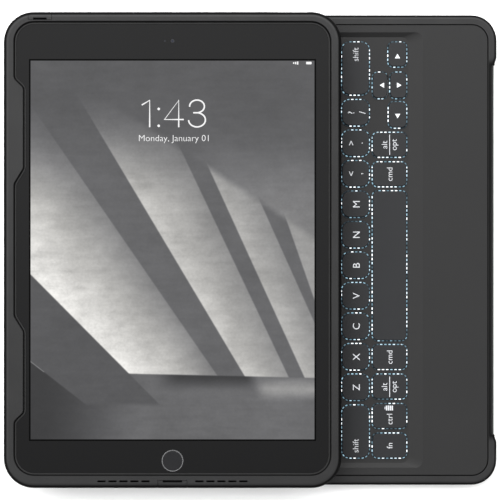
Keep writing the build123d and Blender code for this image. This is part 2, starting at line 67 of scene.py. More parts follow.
# ---- shader graphs -----------------------------------------------------------------------------
class Value:
    """A number on its way through a material's graph; arithmetic on it adds Math nodes."""

    def __init__(self, graph: "Graph", socket: bpy.types.NodeSocket) -> None:
        """Wraps a node's output socket."""
        self.graph = graph
        self.socket = socket

    def _math(self, operation: str, *operands: Number) -> "Value":
        """One Math node on these operands, in their order."""
        return self.graph.node("ShaderNodeMath", {"operation": operation}, dict(enumerate(operands)))

    def __add__(self, other: Number) -> "Value":
        """Sum."""
        return self._math("ADD", self, other)

    __radd__ = __add__

    def __sub__(self, other: Number) -> "Value":
        """Difference."""
        return self._math("SUBTRACT", self, other)

    def __rsub__(self, other: Number) -> "Value":
        """Difference from a plain number."""
        return self._math("SUBTRACT", other, self)

    def __mul__(self, other: Number) -> "Value":
        """Product."""
        return self._math("MULTIPLY", self, other)

    __rmul__ = __mul__

    def __truediv__(self, other: Number) -> "Value":
        """Quotient."""
        return self._math("DIVIDE", self, other)

    def __abs__(self) -> "Value":
        """Size without sign."""
        return self._math("ABSOLUTE", self)

    def fraction(self) -> "Value":
        """Part after the decimal point."""
        return self._math("FRACT", self)

    def floor(self) -> "Value":
        """Next lower whole number."""
        return self._math("FLOOR", self)

    def sine(self) -> "Value":
        """Sine of an angle in radians."""
        return self._math("SINE", self)

    def root(self) -> "Value":
        """Square root."""
        return self._math("SQRT", self)

    def least(self, other: Number) -> "Value":
        """Smaller of two values."""
        return self._math("MINIMUM", self, other)

    def most(self, other: Number) -> "Value":
        """Larger of two values."""
        return self._math("MAXIMUM", self, other)

    def power(self, other: Number) -> "Value":
        """This value raised to a power."""
        return self._math("POWER", self, other)

    def rise(self, low: float, high: float) -> "Value":
        """Smooth step from 0 at low to 1 at high."""
        return self.ramp(low, high, 0.0, 1.0, "SMOOTHSTEP")

    def ramp(self, low: float, high: float, start: float, stop: float, way: str = "LINEAR") -> "Value":
        """Value from start to stop as this one goes from low to high.

        Args:
            low: where the ramp starts.
            high: where it ends.
            start: what it gives at low.
            stop: what it gives at high.
            way: the Map Range node's interpolation.

        Returns:
            The ramp's value, held beyond both ends.
        """
        inputs = {"Value": self, "From Min": low, "From Max": high, "To Min": start, "To Max": stop}
        settings = {"interpolation_type": way, "clamp": True}
        return self.graph.node("ShaderNodeMapRange", settings, inputs)


class Graph:
    """A material's node graph while it is being made."""

    def __init__(self, name: str, tree: bpy.types.NodeTree | None = None) -> None:
        """Starts a material with only its output node, or goes on with a given tree."""
        if tree:
            self.tree = tree
            return
        self.material = bpy.data.materials.new(name)
        self.material.use_nodes = True
        self.tree = self.material.node_tree
        self.tree.nodes.clear()
        self.out = self.tree.nodes.new("ShaderNodeOutputMaterial")
        self.place = self.node("ShaderNodeTexCoord", output="Object")

    def add(self, kind: str, settings: dict[str, Any], inputs: dict[Any, Any]) -> bpy.types.Node:
        """Adds any node.

        Args:
            kind: the node's type.
            settings: its properties, set first.
            inputs: plain values or Values for its sockets, by name or number.

        Returns:
            The node.
        """
        made = self.tree.nodes.new(kind)
        for key, setting in settings.items():
            setattr(made, key, setting)
        for key, given in inputs.items():
            socket = made.inputs[key]
            if isinstance(given, Value):
                self.tree.links.new(given.socket, socket)
            else:
                socket.default_value = (*given, 1.0) if socket.type == "RGBA" else given
        return made

    def node(self, kind: str, settings: dict[str, Any] | None = None,
             inputs: dict[Any, Any] | None = None, output: Union[str, int] = 0) -> Value:
        """Adds a node and gives one of its outputs."""
        return Value(self, self.add(kind, settings or {}, inputs or {}).outputs[output])

    def axes(self, place: Value | None = None) -> tuple[Value, Value, Value]:
        """The x, y and z of a position, in metres."""
        split = self.add("ShaderNodeSeparateXYZ", {}, {0: place or self.place})
        x, y, z = (Value(self, socket) for socket in split.outputs)
        return x, y, z

    def noise(self, grain: float, detail: float = 2.0, stretch: Sequence[float] = (1, 1, 1)) -> Value:
        """Soft noise from 0 to 1.

        Args:
            grain: size of a blotch in metres.
            detail: number of finer layers.
            stretch: scale of the pattern along each axis.

        Returns:
            The noise's value.
        """
        spread = self.node("ShaderNodeMapping", {}, {"Vector": self.place, "Scale": tuple(stretch)})
        return self.node("ShaderNodeTexNoise", {}, {"Vector": spread, "Scale": 1 / grain, "Detail": detail})

    def cells(self, grain: float) -> Value:
        """Distance from the middle of the nearest cell, for pebbled grain of this size in metres."""
        return self.node("ShaderNodeTexVoronoi", {}, {"Vector": self.place, "Scale": 1 / grain})

    def mix(self, factor: Value, first: Union[Value, Colour], second: Union[Value, Colour]) -> Value:
        """Colour between two colours."""
        return self.node("ShaderNodeMix", {"data_type": "RGBA"}, {0: factor, 6: first, 7: second}, 2)

    def blend(self, factor: Number, first: Number, second: Number) -> Value:
        """Number between two numbers."""
        return self.node("ShaderNodeMix", {"data_type": "FLOAT"}, {0: factor, 2: first, 3: second})

    def bump(self, height: Value, depth: float, strength: float) -> Value:
        """Normal from a height; depth is in metres."""
        return self.node("ShaderNodeBump", {}, {"Height": height, "Distance": depth, "Strength": strength})

    def close(self, **sockets: Any) -> bpy.types.Material:
        """Ends the graph in a Principled shader with these sockets, named with _ for a space."""
        inputs = {key.replace("_", " ").title().replace("Ior", "IOR"): given
                  for key, given in sockets.items()}
        shader = self.add("ShaderNodeBsdfPrincipled", {}, inputs)
        self.tree.links.new(shader.outputs[0], self.out.inputs[0])
        return self.material


# ---- finishes ----------------------------------------------------------------------------------
class Finish:
    """A surface finish that knows how to make its material."""

    def material(self) -> bpy.types.Material:
        """Builds the finish."""
        raise NotImplementedError


@dataclass(frozen=True)
class Moulded(Finish):
    """Moulded plastic with spark-eroded grain and a little handling shine.

    Everything lower than top_z, where it is given, is painted nearly black: painted shade down the sides
    below the top.
    """

    name: str
    colour: Colour
    roughness: float = 0.55
    grain: float = 0.35 * MM
    depth: float = 0.02 * MM
    shine: float = 0.22
    top_z: float | None = None

    def material(self) -> bpy.types.Material:
        """Builds the finish."""
        g = Graph(self.name)
        blotch = g.noise(28 * MM, 4)
        speck = g.noise(self.grain, 2)
        worn = g.noise(9 * MM, 3).rise(0.56, 0.78)
        dark, light = shade(self.colour, 0.86), shade(self.colour, 1.18, 0.0005)
        tone = g.mix(blotch * 0.55 + speck * 0.45, dark, light)
        # painted shade: below top_z the colour goes nearly black
        if self.top_z is not None:
            top = g.axes()[2].rise(self.top_z - 0.3 * MM, self.top_z - 0.04 * MM)
            tone = g.mix(top, (0.0008, 0.0008, 0.0008), tone)
        pebble = g.cells(self.grain * 1.6)
        rough = blotch * 0.10 + speck * 0.10 + (self.roughness - 0.10) - worn * 0.07
        return g.close(base_color=tone, roughness=rough, specular_ior_level=self.shine,
                       normal=g.bump(pebble + speck * 0.6, self.depth, 0.6))


@dataclass(frozen=True)
class Elastomer(Finish):
    """Soft-touch rubber: satin, with glossier crests, fine pores and painted shade on the slopes below the
    crests.

    Its colour is kept and its coat shines from crest_z less drop upwards, and again partly low on its sides;
    on the slopes in between, the colour is painted near black as painted shade and the coat fades. Where
    face is given, as its x and the y of its corner pads, the front face between the pads gets this painted
    shade up to the crest.
    """

    name: str
    colour: Colour
    roughness: float = 0.5
    crest_z: float = 0.0
    shine: float = 0.44
    drop: float = 0.5 * MM
    face: tuple[float, float] | None = None

    def material(self) -> bpy.types.Material:
        """Builds the finish."""
        g = Graph(self.name)
        x, y, z = g.axes()
        cloud = g.noise(16 * MM, 4)
        pores = g.noise(0.22 * MM, 2)
        scuff = g.noise(3.5 * MM, 5, (1, 1, 3)).rise(0.58, 0.8)
        # crest: 1 on the crest, 0 on the slopes below it, where the colour gets painted shade
        crest = z.rise(self.crest_z - self.drop, self.crest_z - 0.1 * self.drop)
        # painted shade: on the front face between the corner pads the crest goes near black too
        if self.face:
            front_x, pad_y = self.face
            front = x.rise(front_x - 0.5 * MM, front_x)
            crest = crest * (1.0 - front * (1.0 - abs(y).rise(pad_y, pad_y + 4 * MM)) * 0.92)
        crest = crest.most(0.75 - z.rise(self.crest_z - 4.6 * MM, self.crest_z - 3.2 * MM) * 0.75)
        dark, light = shade(self.colour, 0.80), shade(self.colour, 1.3, 0.001)
        tone = g.mix(cloud * 0.6 + pores * 0.25 + scuff * 0.15, dark, light)
        # painted shade: the slopes below the crest go near black
        tone = g.mix(crest * 0.85 + 0.15, (0.0005, 0.0005, 0.0005), tone)
        rough = self.roughness + cloud * 0.12 - scuff * 0.06
        return g.close(base_color=tone, roughness=rough + 0.2, specular_ior_level=0.04,
                       coat_weight=crest * self.shine * (cloud * 0.3 + 0.85), coat_roughness=self.roughness,
                       normal=g.bump(pores, 0.02 * MM, 0.5))


@dataclass(frozen=True)
class Woven(Finish):
    """Coated cloth bonded to a panel: a plain weave with slubs."""

    name: str
    colour: Colour
    thread: float = 0.55 * MM

    def material(self) -> bpy.types.Material:
        """Builds the finish."""
        g = Graph(self.name)
        x, y, _ = g.axes()
        turn = math.pi / self.thread
        slub = g.noise(2.4 * MM, 3)
        warp = abs((x * turn + slub * 0.5).sine())
        weft = abs((y * turn + slub * 0.5).sine())
        over = ((x / self.thread).floor() + (y / self.thread).floor()) * 0.5
        side = over.fraction() * 2.0
        height = warp * side + weft * (1.0 - side)
        tone = g.mix(height * 0.6 + slub * 0.4, shade(self.colour, 0.6), shade(self.colour, 1.25, 0.004))
        return g.close(base_color=tone, roughness=0.74 + slub * 0.16,
                       normal=g.bump(height, 0.06 * MM, 0.8))


class Lay(Enum):
    """Which way a metal's fine scratches run."""

    ALONG = (0.02, 1, 1)
    ACROSS = (1, 0.02, 1)
    BLASTED = (1, 1, 1)


@dataclass(frozen=True)
class Metal(Finish):
    """Metal with fine scratches or a blasted grain."""

    name: str
    colour: Colour
    roughness: float = 0.32
    lay: Lay = Lay.BLASTED

    def material(self) -> bpy.types.Material:
        """Builds the finish."""
        g = Graph(self.name)
        grain = g.noise(0.16 * MM, 3, self.lay.value)
        haze = g.noise(11 * MM, 3)
        tone = g.mix(grain * 0.5 + haze * 0.5, shade(self.colour, 0.8), self.colour)
        rough = grain * 0.16 + haze * 0.1 + self.roughness - 0.12
        return g.close(base_color=tone, metallic=1.0, roughness=rough, normal=g.bump(grain, 0.008 * MM, 0.5))


@dataclass(frozen=True)
class Lens(Finish):
    """Dark polished glass over an iris."""

    name: str
    middle: tuple[float, float]
    radius: float
    rim: Colour = (0.02, 0.02, 0.022)

    def material(self) -> bpy.types.Material:
        """Builds the finish."""
        g = Graph(self.name)
        x, y, _ = g.axes()
        across, along = x - self.middle[0], y - self.middle[1]
        part = (across * across + along * along).root() / self.radius
        iris = g.mix(part.rise(0.35, 0.5), (0.002, 0.004, 0.012), (0.012, 0.013, 0.02))
        tone = g.mix(part.rise(0.72, 0.8), iris, self.rim)
        dust = g.noise(0.9 * MM, 3)
        return g.close(base_color=tone, roughness=0.05 + dust * 0.06, coat_weight=0.6, coat_roughness=0.03)


@dataclass(frozen=True)
class PlainGlow(Finish):
    """Lit ink: a colour that also gives light, with the slight unevenness of print.

    Paint is how much of the colour the ink shows by the light that falls on it.
    """

    name: str
    colour: Colour
    glow: float
    paint: float = 1.0

    def material(self) -> bpy.types.Material:
        """Builds the finish."""
        g = Graph(self.name)
        grain = g.noise(0.5 * MM, 3)
        tone = g.mix(grain, shade(self.colour, 0.9), self.colour)
        body = g.mix(grain, shade(self.colour, 0.82 * self.paint), shade(self.colour, self.paint))
        return g.close(base_color=body, roughness=0.45 + grain * 0.1, emission_color=tone,
                       emission_strength=self.glow)


@dataclass(frozen=True)
class DashedGlow(Finish):
    """Light that leaves the gap round a key as a row of dashes; the piece's UV counts them."""

    name: str
    colour: Colour = (0.30, 0.50, 0.62)
    lit: float = 0.66
    glow: float = 1.8

    def material(self) -> bpy.types.Material:
        """Builds the finish."""
        g = Graph(self.name)
        u, straight, _ = g.axes(g.node("ShaderNodeUVMap", {"uv_map": "dashes"}))
        inside = abs(u.fraction() - 0.5) * (2 / self.lit)
        shape = 1.0 - inside.rise(0.6, 1.15)
        chance = g.node("ShaderNodeTexWhiteNoise", {"noise_dimensions": "1D"}, {"W": u.floor()})
        leak = g.noise(11 * MM, 1).rise(0.28, 0.52)
        bright = shape * chance.ramp(0.1, 0.9, 0.22, 1.0) * (straight * 0.65 + 0.35) * (leak * 0.7 + 0.3)
        lamp = g.mix(bright.rise(0.0, 0.55), (0.004, 0.007, 0.010), self.colour)
        white = g.mix(bright.rise(0.3, 0.9), lamp, (1.0, 1.0, 1.0))
        # between the dashes the strip is near black: partly the unlit gap, partly painted shade in the gap
        # round the key
        return g.close(base_color=(0.004, 0.006, 0.007), roughness=straight * 0.1 + 0.5,
                       emission_color=white, emission_strength=self.glow, specular_ior_level=0.1)


@dataclass(frozen=True)
class Edge:
    """A straight edge in the screen's picture, from its foot to its head.

    Places are in parts of half the lit area's height, from its middle.
    """

    foot: tuple[float, float]
    head: tuple[float, float]

    def right(self, along: Value, up: Value) -> Value:
        """Distance to the right of the edge."""
        run, climb = self.head[0] - self.foot[0], self.head[1] - self.foot[1]
        size = math.hypot(run, climb)
        return (along - self.foot[0]) * (climb / size) - (up - self.foot[1]) * (run / size)


@dataclass(frozen=True)
class Slab:
    """A leaning slab between two edges, and the lit wall before it, near and far from the slab before."""

    left: Edge
    right: Edge
    near: float
    far: float


@dataclass(frozen=True)
class LitScreen(Finish):
    """Cover glass: black mask round a lit picture of leaning concrete slabs.

    The tones of the picture are those that a display shows, from 0 to 1.
    """

    name: str
    middle: tuple[float, float]
    half: tuple[float, float]
    border: float = 0.8 * MM
    shade: float = 0.39
    ceiling: float = 0.345
    ground: float = 0.41

    def slabs(self) -> list[Slab]:
        """The slabs from left to right, with the tones of the wall left of each."""
        places = (((0.198, -0.607), (-0.657, 0.633), (0.346, -0.607), (-0.393, 0.633), 0.97, 0.50),
                  ((0.583, -0.607), (0.145, 0.317), (0.667, -0.607), (0.293, 0.211), 0.78, 0.55),
                  ((0.720, -0.317), (0.530, 0.106), (0.768, -0.317), (0.620, 0.106), 0.69, 0.54))
        return [Slab(Edge(foot, head), Edge(next_foot, next_head), near, far)
                for foot, head, next_foot, next_head, near, far in places]

    def picture(self, g: Graph, along: Value, up: Value) -> Value:
        """The picture's colour at a place, laid on from the wall at the back to the body in front.

        Args:
            g: the graph.
            along: place across the screen, in parts of half the lit height.
            up: place up the screen, likewise.

        Returns:
            The colour.
        """
        soft = 0.005
        near = Edge((-0.171, -0.712), (-0.668, -0.211)).right(along, up)
        before, tone = near, 0.60
        walls = []
        for slab in self.slabs():
            left, right = slab.left.right(along, up), slab.right.right(along, up)
            part = before.most(0.001) / (before.most(0.001) - left.least(-0.001))
            walls.append((left, right, part * (slab.far - slab.near) + slab.near))
            before = right
        for left, right, wall in reversed(walls):
            tone = g.blend(right.rise(-soft, soft), self.shade, tone)
            tone = g.blend(left.rise(-soft, soft), wall, tone)
        tone = g.blend((up + along * 0.66 - 0.56).rise(-0.03, 0.03), tone, up.ramp(0.2, 0.7, 0.50, 0.37))
        tone = g.blend(up.rise(0.2, 0.86), tone, self.ceiling)
        down = 0.0 - up
        foot = (down - along * 0.023 - 0.658).rise(-soft, soft)
        dark = (1.0 - (down - 0.66).rise(0.0, 0.10)) * along.rise(-0.12, 0.05)
        dark = (dark * (1.0 - along.rise(0.38, 0.46))).most(1.0 - along.rise(-0.72, -0.1)) * 0.42
        glow = (1.0 - abs(up + 0.735).rise(0.0, 0.075)) * along.rise(0.42, 0.5) * 0.16
        under = Edge((-0.40, -0.86), (-0.80, -0.55)).right(along, up)
        foot = foot.most(1.0 - under.rise(-soft, soft))
        tone = g.blend(foot, tone, (1.0 - dark) * self.ground + glow)
        body = (1.0 - near.rise(-soft, soft)) * (1.0 - down.rise(0.80, 0.83)) * under.rise(-soft, soft)
        tone = g.blend(body, tone, 0.345)
        speck = g.noise(30 * MM, 6) * 0.5 + g.noise(5 * MM, 5, (0.6, 1.0, 1)) * 0.3
        speck = speck + g.noise(1.3 * MM, 4) * 0.2
        board = g.noise(2.6 * MM, 3, (0.12, 1.0, 1))
        grain = ((speck - 0.5) * 0.85 + (board - 0.5) * 0.16) * (tone * 0.8 + 0.2) + 1.0
        tint = g.mix(tone.rise(0.3, 0.75), (0.975, 0.975, 1.02), (1.01, 0.995, 0.96))
        return g.mix((tone * grain).power(DISPLAY_GAMMA), BLACK, tint)

    def material(self) -> bpy.types.Material:
        """Builds the finish."""
        g = Graph(self.name)
        x, y, _ = g.axes()
        x, y = x - self.middle[0], y - self.middle[1]
        half_x, half_y = self.half
        picture = self.picture(g, x / half_y, y / half_y)
        across, along = abs(x), abs(y)
        fade = 0.1 * MM
        lit = (1.0 - across.rise(half_x - fade, half_x)) * (1.0 - along.rise(half_y - fade, half_y))
        out_x, out_y = half_x + self.border, half_y + self.border
        mask = across.rise(out_x, out_x + fade).most(along.rise(out_y, out_y + fade))
        paint = g.mix(mask, (0.0018, 0.0018, 0.0018), (0.0045, 0.0045, 0.0047))
        smear = g.noise(24 * MM, 4)
        return g.close(base_color=paint, roughness=smear * 0.05 + 0.3, specular_ior_level=0.0,
                       coat_weight=mask.most(lit) * 0.9 + 0.1, coat_roughness=0.05,
                       emission_color=g.mix(lit, BLACK, picture), emission_strength=1.0)


# ---- modelling bench ---------------------------------------------------------------------------
class Bench:
    """Blender's modelling operators, as used by every sub-assembly."""

    @staticmethod
    def calm() -> None:
        """Leaves edit mode and deselects everything."""
        if bpy.context.object and bpy.context.object.mode != "OBJECT":
            bpy.ops.object.mode_set(mode="OBJECT")
        bpy.ops.object.select_all(action="DESELECT")

    @staticmethod
    def take(*pieces: bpy.types.Object) -> None:
        """Selects only these pieces and makes the first one active."""
        Bench.calm()
        for piece in pieces:
            piece.select_set(True)
        bpy.context.view_layer.objects.active = pieces[0]

    @staticmethod
    def label(piece: bpy.types.Object, name: str) -> bpy.types.Object:
        """Names a piece and its mesh."""
        piece.name = name
        piece.data.name = name
        return piece

    @staticmethod
    def settle(piece: bpy.types.Object, name: str) -> bpy.types.Object:
        """Names a piece and moves its place, turn and scale into its mesh."""
        Bench.take(piece)
        if piece.type != "MESH":
            bpy.ops.object.convert(target="MESH")
            piece = bpy.context.object
        bpy.ops.object.transform_apply(location=True, rotation=True, scale=True)
        return Bench.label(piece, name)

    @staticmethod
    def edit(piece: bpy.types.Object, steps: Callable[[], Any]) -> None:
        """Runs edit-mode steps on a piece with all of its mesh selected."""
        Bench.take(piece)
        bpy.ops.object.mode_set(mode="EDIT")
        bpy.ops.mesh.select_all(action="SELECT")
        steps()
        bpy.ops.object.mode_set(mode="OBJECT")

    @staticmethod
    def pick(piece: bpy.types.Object, wanted: Callable[[Vector], bool], steps: Callable[[], Any]) -> None:
        """Runs edit-mode steps on the vertices of a piece whose place is wanted."""
        Bench.calm()
        for part in (*piece.data.polygons, *piece.data.edges):
            part.select = False
        for vertex in piece.data.vertices:
            vertex.select = wanted(vertex.co)
        Bench.take(piece)
        bpy.ops.object.mode_set(mode="EDIT")
        bpy.ops.mesh.select_mode(type="VERT")
        steps()
        bpy.ops.object.mode_set(mode="OBJECT")

    @staticmethod
    def thicken(thick: float) -> None:
        """Raises a flat sheet into a solid, in edit mode, and turns its faces outwards."""
        bpy.ops.mesh.select_all(action="SELECT")
        bpy.ops.mesh.extrude_region_move(TRANSFORM_OT_translate={"value": (0, 0, thick)})
        bpy.ops.mesh.select_all(action="SELECT")
        bpy.ops.mesh.normals_make_consistent(inside=False)

    @staticmethod
    def join(pieces: Sequence[bpy.types.Object], name: str) -> bpy.types.Object:
        """Makes one piece of several."""
        Bench.take(*pieces)
        if len(pieces) > 1:
            bpy.ops.object.join()
        return Bench.label(pieces[0], name)

    @staticmethod
    def sheet(name: str, middle: Sequence[float], size: Sequence[float]) -> bpy.types.Object:
        """Flat rectangle round a middle."""
        Bench.calm()
        bpy.ops.mesh.primitive_plane_add(size=1, location=middle)
        piece = bpy.context.object
        piece.scale = (size[0], size[1], 1)
        return Bench.settle(piece, name)

    @staticmethod
    def tile(name: str, middle: Sequence[float], size: Sequence[float], corner: float, thick: float,
             steps: int = 2) -> bpy.types.Object:
        """Flat rounded tile, its underside at the middle's height.

        Args:
            name: the piece's name.
            middle: centre of its underside.
            size: width along X and length along Y.
            corner: radius of its corners.
            thick: thickness.
            steps: segments in each corner.

        Returns:
            The tile.
        """
        piece = Bench.sheet(name, middle, size)

        def shape() -> None:
            """Rounds the corners and raises the tile."""
            bpy.ops.mesh.bevel(offset=corner, segments=steps, affect="VERTICES")
            Bench.thicken(thick)
        Bench.edit(piece, shape)
        return piece

    @staticmethod
    def ring(name: str, middle: Sequence[float], size: Sequence[float], corner: float, width: float,
             thick: float, pitch: float, first: int, open_right: bool = False) -> bpy.types.Object:
        """Rounded rectangular ring whose UV map counts dashes along it.

        Args:
            name: the piece's name.
            middle: centre of its top face.
            size: outer width along X and length along Y.
            corner: outer corner radius.
            width: width of the strip.
            thick: depth of the strip.
            pitch: wanted length of a dash and its gap.
            first: number of its first dash.
            open_right: leaves out the run on the right.

        Returns:
            The ring.
        """
        piece = Bench.sheet(name, middle, size)
        Bench.edit(piece, lambda: bpy.ops.mesh.bevel(offset=corner, segments=8, affect="VERTICES"))
        centre = Vector(middle)
        loop = sorted((v.co.copy() for v in piece.data.vertices),
                      key=lambda co: math.atan2(co.y - centre.y, co.x - centre.x))
        travelled, places = 0.0, []
        for here, there in zip(loop, loop[1:] + loop[:1]):
            places.append(travelled)
            travelled += (there - here).length
        count = max(4, round(travelled / pitch))

        def hollow() -> None:
            """Leaves only a strip along the outline."""
            bpy.ops.mesh.inset(thickness=width, depth=0)
            bpy.ops.mesh.delete(type="FACE")
            if open_right:
                cut = (centre.x + size[0] / 2 - 1.5 * width, 0, 0)
                bpy.ops.mesh.select_all(action="SELECT")
                bpy.ops.mesh.bisect(plane_co=cut, plane_no=(1, 0, 0), clear_outer=True)
        Bench.edit(piece, hollow)
        Bench.number_dashes(piece, loop, places, travelled, count, first)
        Bench.take(piece)
        modifier = piece.modifiers.new("solidify", "SOLIDIFY")
        modifier.thickness = thick
        modifier.offset = -1
        bpy.ops.object.modifier_apply(modifier=modifier.name)
        return piece

    @staticmethod
    def number_dashes(piece: bpy.types.Object, loop: Sequence[Vector], places: Sequence[float],
                      whole: float, count: int, first: int) -> None:
        """Writes the UV map: u counts dashes along the loop, v is 1 on straight runs and 0 in corners.

        Args:
            piece: the flat strip.
            loop: its outer corners in order.
            places: how far along each of them lies.
            whole: length of the loop.
            count: number of dashes in it.
            first: number of the first dash.
        """
        mesh = piece.data
        uv = mesh.uv_layers.new(name="dashes")
        nearest = [min(range(len(loop)), key=lambda i: (loop[i] - vertex.co).length_squared)
                   for vertex in mesh.vertices]
        for face in mesh.polygons:
            marks = [places[nearest[mesh.loops[i].vertex_index]] for i in face.loop_indices]
            seam = max(marks) - min(marks) > whole / 2
            marks = [mark + whole if seam and mark < whole / 2 else mark for mark in marks]
            straight = 1.0 if max(marks) - min(marks) > 2.0 * MM else 0.0
            for mark, i in zip(marks, face.loop_indices):
                uv.data[i].uv = (first + mark / whole * count, straight)

    @staticmethod
    def lettering(name: str, text: str, middle: Sequence[float], size: float, turn: float = 0.0,
                  thin: float = 0.0, thick: float = INK_THICK) -> bpy.types.Object:
        """Raised print centred on a point.

        Args:
            name: the piece's name.
            text: what it says.
            middle: centre of its underside.
            size: the type's body size.
            turn: turn about Z in radians.
            thin: how much thinner than the plain type each side of a stroke is.
            thick: height of the print.

        Returns:
            The print as a mesh.
        """
        Bench.calm()
        bpy.ops.object.text_add(location=(0, 0, 0))
        piece = bpy.context.object
        piece.data.body = text
        piece.data.size = size
        piece.data.align_x = "CENTER"
        piece.data.align_y = "CENTER"
        piece.data.offset = -thin
        piece.data.extrude = thick / 2
        piece.data.resolution_u = 4
        piece = Bench.settle(piece, name)
        low = Vector([min(v.co[i] for v in piece.data.vertices) for i in range(3)])
        high = Vector([max(v.co[i] for v in piece.data.vertices) for i in range(3)])
        shift = Matrix.Translation(-(low + high) / 2)
        there = Matrix.Translation(Vector(middle) + Vector((0, 0, thick / 2)))
        piece.data.transform(there @ Matrix.Rotation(turn, 4, "Z") @ shift)
        return piece

    @staticmethod
    def stroke(name: str, points: Sequence[tuple[float, float]], middle: Sequence[float], width: float,
               thick: float) -> bpy.types.Object:
        """Flat pen stroke with round flanks.

        Args:
            name: the piece's name.
            points: the line that the pen follows, in millimetres from the middle.
            middle: what the points are measured from; the stroke lies on it.
            width: width of the pen.
            thick: height of the stroke.

        Returns:
            The stroke as a mesh.
        """
        line = bpy.data.curves.new(name, "CURVE")
        line.dimensions = "3D"
        line.bevel_depth = width / 2
        line.bevel_resolution = 3
        line.use_fill_caps = True
        spline = line.splines.new("POLY")
        spline.points.add(len(points) - 1)
        for point, (x, y) in zip(spline.points, points):
            point.co = (x * MM, y * MM, 0, 1)
        piece = bpy.data.objects.new(name, line)
        bpy.context.scene.collection.objects.link(piece)
        Bench.take(piece)
        bpy.ops.object.convert(target="MESH")
        piece = bpy.context.object
        piece.scale.z = thick / width
        piece.location = Vector(middle) + Vector((0, 0, thick / 2))
        return Bench.settle(piece, name)

    @staticmethod
    def dress(piece: bpy.types.Object, material: bpy.types.Material, body: str,
              slot: str = "key_plastic") -> None:
        """Gives a new piece its material and its body, and reports it."""
        piece.data.materials.clear()
        piece.data.materials.append(material)
        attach(piece, body)
        log.info("%s: %d faces on %s", piece.name, len(piece.data.polygons), body)


def repaint(finish: Finish, *nodes: str) -> None:
    """Gives CAD nodes a finish."""
    material = finish.material()
    for name in nodes:
        node = frame["nodes"][name]
        if not node.material_slots:
            node.data.materials.append(material)
        for slot in node.material_slots:
            slot.material = material
        log.info("%s: %s", name, material.name)


def body_of(node: str) -> str:
    """The body that a CAD node belongs to."""
    bodies = frame["record"]["behaviour"]["bodies"]
    return next(body for body, nodes in bodies.items() if node in nodes)


# ---- keys --------------------------------------------------------------------------------------
@dataclass(frozen=True)
class Print:
    """One piece of print on a key: text, and its place to the right of and above the key's middle."""

    text: str
    right: float = 0.0
    above: float = 0.0
    size: float = 6.0


class Pointer(Enum):
    """Which way an arrow key's triangle points, as a turn from the typist's right."""

    RIGHT = 0.0
    UP = math.pi / 2
    LEFT = math.pi
    DOWN = -math.pi / 2


